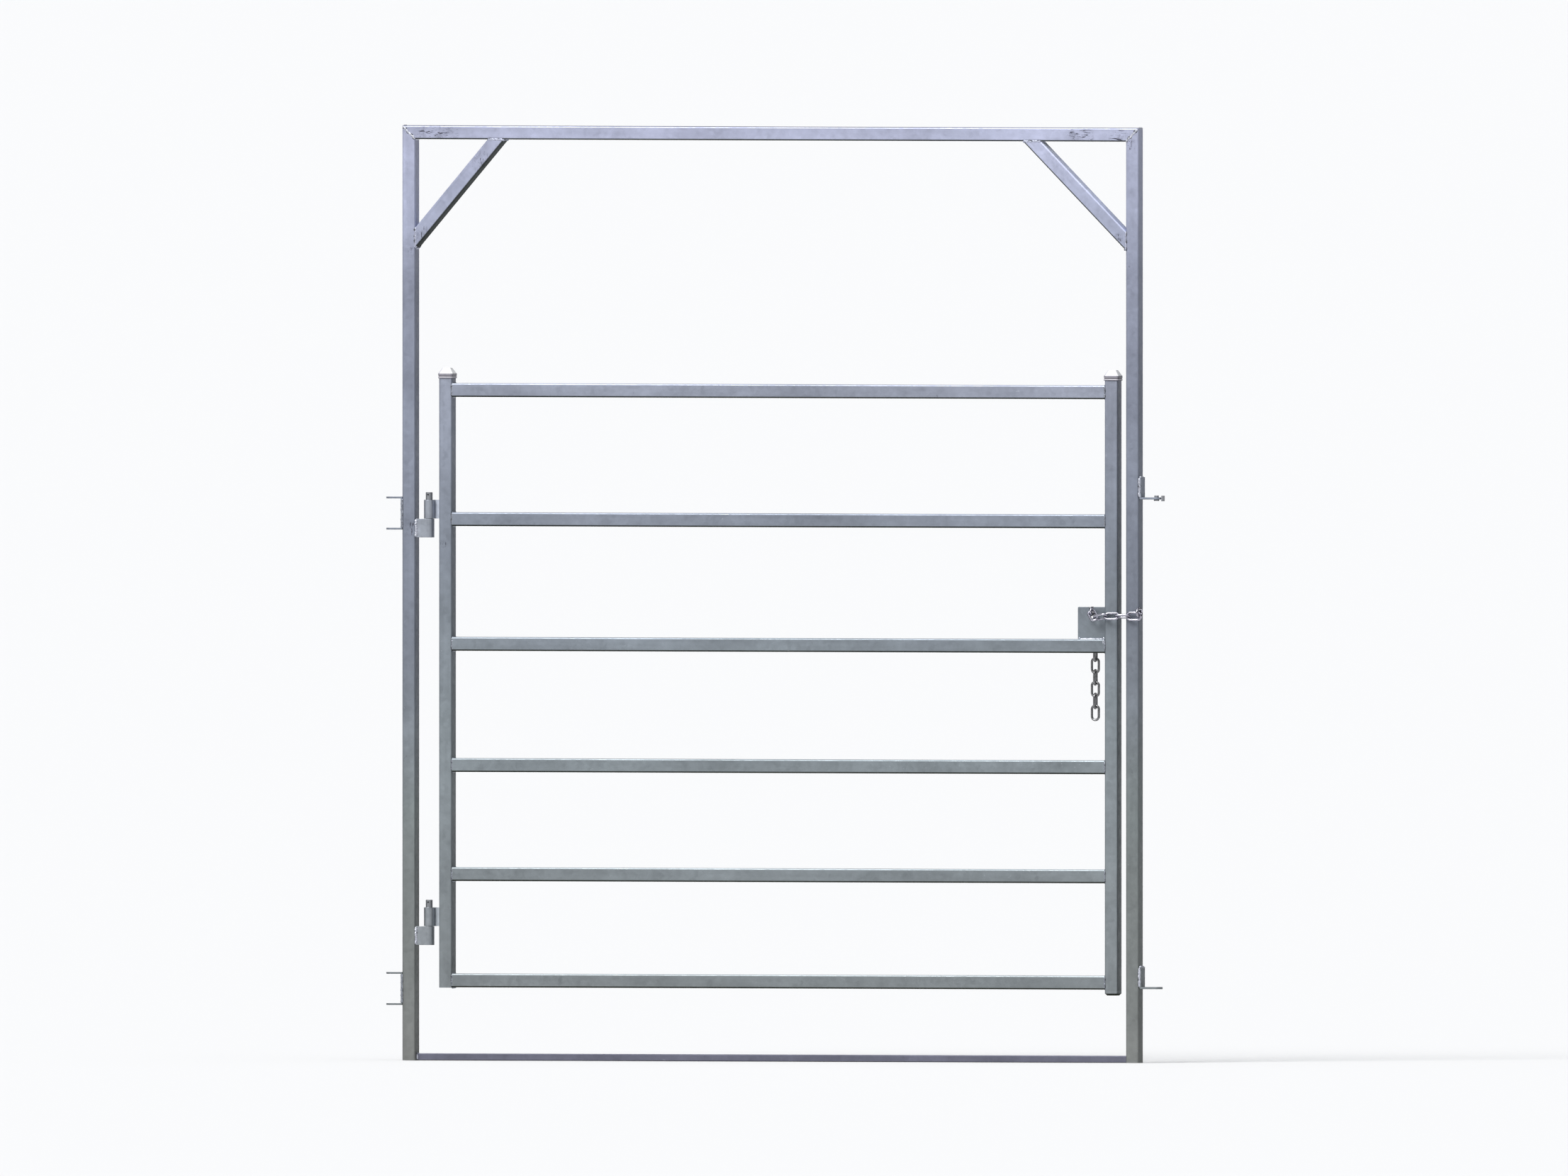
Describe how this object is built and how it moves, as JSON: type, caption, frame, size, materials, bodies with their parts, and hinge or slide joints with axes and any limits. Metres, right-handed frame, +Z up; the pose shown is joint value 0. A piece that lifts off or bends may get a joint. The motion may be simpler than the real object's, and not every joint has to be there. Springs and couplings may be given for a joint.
{
  "type": "stock gate with chain latch",
  "caption": "Galvanised square-tube livestock gate hung on pin hinges in a tall welded portal frame, held shut by a loose chain dropped into a keyhole latch plate.",
  "frame": {"origin": "on the ground plane, midway between the two posts and midway through their depth", "axes": "+Z up; +X from the hinge side to the latch side; the front, with the chain's front run, faces -Y"},
  "size_m": [2.373, 0.099, 2.7],
  "materials": {
    "tube_zinc": "dull hot-dip galvanised",
    "bar_zinc": "dull hot-dip galvanised",
    "bright_zinc": "bright galvanised",
    "bright_chain": "bright zinc plated",
    "weathered_chain": "weathered zinc plated"
  },
  "bodies": {
    "frame": {"left_post": "tube_zinc", "right_post": "tube_zinc", "top_rail": "tube_zinc", "left_brace": "tube_zinc", "right_brace": "tube_zinc", "ground_sill": "tube_zinc", "upper_left_bracket": "bar_zinc", "lower_left_bracket": "bar_zinc", "upper_right_lug": "bar_zinc", "lower_right_lug": "bar_zinc", "lug_stud": "bright_zinc", "lug_stop": "bar_zinc", "upper_post_hinge_eye": "bar_zinc", "lower_post_hinge_eye": "bar_zinc", "upper_hinge_pin": "bright_zinc", "lower_hinge_pin": "bright_zinc", "chain_anchor_link": "bright_chain"},
    "gate": {"hinge_stile": "tube_zinc", "latch_stile": "tube_zinc", "gate_rail_1": "tube_zinc", "gate_rail_2": "tube_zinc", "gate_rail_3": "tube_zinc", "gate_rail_4": "tube_zinc", "gate_rail_5": "tube_zinc", "gate_rail_6": "tube_zinc", "upper_gate_hinge_eye": "bar_zinc", "lower_gate_hinge_eye": "bar_zinc", "hinge_stile_cap": "bright_zinc", "latch_stile_cap": "bright_zinc", "latch_stile_foot_cap": "bright_zinc", "latch_plate": "bar_zinc"},
    "chain_link_1": {"chain_link_1": "bright_chain"},
    "chain_link_2": {"chain_link_2": "bright_chain"},
    "chain_link_3": {"chain_link_3": "bright_chain"},
    "chain_link_4": {"chain_link_4": "bright_chain"},
    "chain_link_5": {"chain_link_5": "bright_chain"},
    "slot_link": {"slot_link": "bright_chain"},
    "tail_link_1": {"tail_link_1": "weathered_chain"},
    "tail_link_2": {"tail_link_2": "weathered_chain"},
    "tail_link_3": {"tail_link_3": "weathered_chain"},
    "tail_link_4": {"tail_link_4": "weathered_chain"},
    "tail_link_5": {"tail_link_5": "weathered_chain"},
    "tail_link_6": {"tail_link_6": "weathered_chain"},
    "tail_link_7": {"tail_link_7": "weathered_chain"},
    "tail_link_8": {"tail_link_8": "weathered_chain"},
    "tail_link_9": {"tail_link_9": "weathered_chain"}
  },
  "joints": [
    {"name": "gate_swing", "type": "hinge", "parent": "frame", "child": "gate", "pos_m": [-1.049, 0, 1], "axis": [0, 0, 1], "range_deg": [-110, 110]},
    {"name": "chain_lift", "type": "hinge", "parent": "frame", "child": "chain_link_1", "pos_m": [1.1285, -0.035, 1.29], "axis": [0, 1, 0], "range_deg": [0, 15]},
    {"name": "chain_bend_2", "type": "hinge", "parent": "chain_link_1", "child": "chain_link_2", "pos_m": [1.1049, -0.035, 1.29], "axis": [0, 1, 0], "range_deg": [0, 1.5]},
    {"name": "chain_bend_3", "type": "hinge", "parent": "chain_link_2", "child": "chain_link_3", "pos_m": [1.0603, -0.035, 1.29], "axis": [0, 1, 0], "range_deg": [0, 1.5]},
    {"name": "chain_bend_4", "type": "hinge", "parent": "chain_link_3", "child": "chain_link_4", "pos_m": [1.0262, -0.035, 1.29], "axis": [0, 1, 0], "range_deg": [0, 1.5]},
    {"name": "chain_bend_5", "type": "hinge", "parent": "chain_link_4", "child": "chain_link_5", "pos_m": [0.99312, -0.02942, 1.28391], "axis": [0, 1, 0], "range_deg": [-19.5, 0]},
    {"name": "slot_link_tip", "type": "hinge", "parent": "chain_link_5", "child": "slot_link", "pos_m": [0.97978, -0.01584, 1.29787], "axis": [0, 1, 0], "range_deg": [-4, 1.5]},
    {"name": "tail_hang", "type": "hinge", "parent": "slot_link", "child": "tail_link_1", "pos_m": [0.97369, 0.01734, 1.2901], "axis": [0, 1, 0], "range_deg": [-12, 12]},
    {"name": "tail_swing_2", "type": "hinge", "parent": "tail_link_1", "child": "tail_link_2", "pos_m": [0.97369, 0.02718, 1.2607], "axis": [1, 0, 0], "range_deg": [0, 15]},
    {"name": "tail_swing_3", "type": "hinge", "parent": "tail_link_2", "child": "tail_link_3", "pos_m": [0.97369, 0.03467, 1.22782], "axis": [0, 1, 0], "range_deg": [-12, 12]},
    {"name": "tail_swing_4", "type": "hinge", "parent": "tail_link_3", "child": "tail_link_4", "pos_m": [0.97369, 0.03467, 1.19372], "axis": [1, 0, 0], "range_deg": [0, 15]},
    {"name": "tail_swing_5", "type": "hinge", "parent": "tail_link_4", "child": "tail_link_5", "pos_m": [0.97369, 0.03467, 1.15962], "axis": [0, 1, 0], "range_deg": [-12, 12]},
    {"name": "tail_swing_6", "type": "hinge", "parent": "tail_link_5", "child": "tail_link_6", "pos_m": [0.97369, 0.03467, 1.12552], "axis": [1, 0, 0], "range_deg": [0, 15]},
    {"name": "tail_swing_7", "type": "hinge", "parent": "tail_link_6", "child": "tail_link_7", "pos_m": [0.97369, 0.03467, 1.09142], "axis": [0, 1, 0], "range_deg": [-12, 12]},
    {"name": "tail_swing_8", "type": "hinge", "parent": "tail_link_7", "child": "tail_link_8", "pos_m": [0.97369, 0.03467, 1.05732], "axis": [1, 0, 0], "range_deg": [0, 15]},
    {"name": "tail_swing_9", "type": "hinge", "parent": "tail_link_8", "child": "tail_link_9", "pos_m": [0.97369, 0.03467, 1.02322], "axis": [0, 1, 0], "range_deg": [-12, 12]}
  ],
  "couplings": [
    {"joint": "chain_bend_2", "follows": "chain_lift", "ratio": 0.1},
    {"joint": "chain_bend_3", "follows": "chain_lift", "ratio": 0.1},
    {"joint": "chain_bend_4", "follows": "chain_lift", "ratio": 0.1},
    {"joint": "chain_bend_5", "follows": "chain_lift", "ratio": -1.3}
  ]
}
